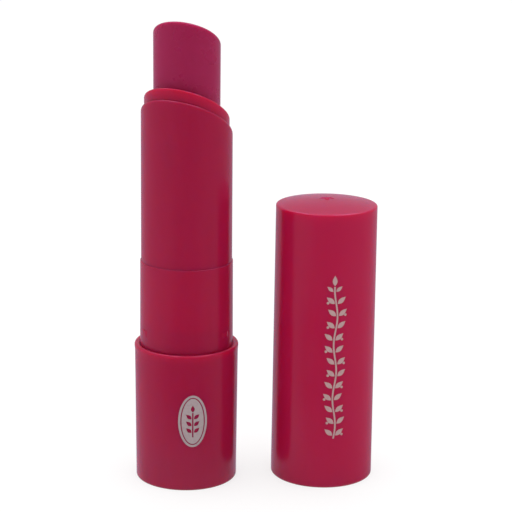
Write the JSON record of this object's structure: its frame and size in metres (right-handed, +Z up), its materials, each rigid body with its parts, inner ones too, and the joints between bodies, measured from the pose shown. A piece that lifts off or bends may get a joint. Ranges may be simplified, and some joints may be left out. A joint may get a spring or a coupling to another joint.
{
  "type": "twist-up lipstick",
  "caption": "Slim twist-up lipstick with a slanted barrel and bullet; turning the barrel on its foot runs the bullet down a double helix, and the cap stands beside it.",
  "frame": {"origin": "middle of the foot's flat underside, on the axis of the stick", "axes": "+Z up along the stick, -Y towards the viewer of the picture, +X towards the side on which the cap stands"},
  "size_m": [0.0449, 0.0215, 0.0861],
  "materials": {
    "shell_plastic": "glossy moulded plastic, crimson",
    "cap_plastic": "glossy moulded plastic, crimson, with a pale printed ornament",
    "works_plastic": "natural acetal, low sheen",
    "ring_rubber": "matt silicone rubber",
    "lipstick_wax": "satin wax, muted crimson"
  },
  "bodies": {
    "foot": {"base_sleeve": "shell_plastic", "collar": "shell_plastic", "spiral_sleeve": "works_plastic"},
    "turning_tube": {"barrel": "shell_plastic", "guide_tube": "shell_plastic", "brake_ring": "ring_rubber"},
    "carrier": {"carrier_cup": "works_plastic", "bullet": "lipstick_wax"},
    "cap": {"cap": "cap_plastic"}
  },
  "joints": [
    {"name": "twist", "type": "hinge", "parent": "foot", "child": "turning_tube", "pos_m": [0, 0, 0], "axis": [0, 0, 1], "range_deg": [0, 540]},
    {"name": "rise", "type": "slide", "parent": "turning_tube", "child": "carrier", "axis": [0, 0, 1], "range_m": [-0.02, 0]},
    {"name": "cap_lift", "type": "slide", "parent": "foot", "child": "cap", "axis": [0, 0, 1], "range_m": [0, 0.09]}
  ],
  "couplings": [
    {"joint": "rise", "follows": "twist", "m_per_rad": -0.002122}
  ]
}
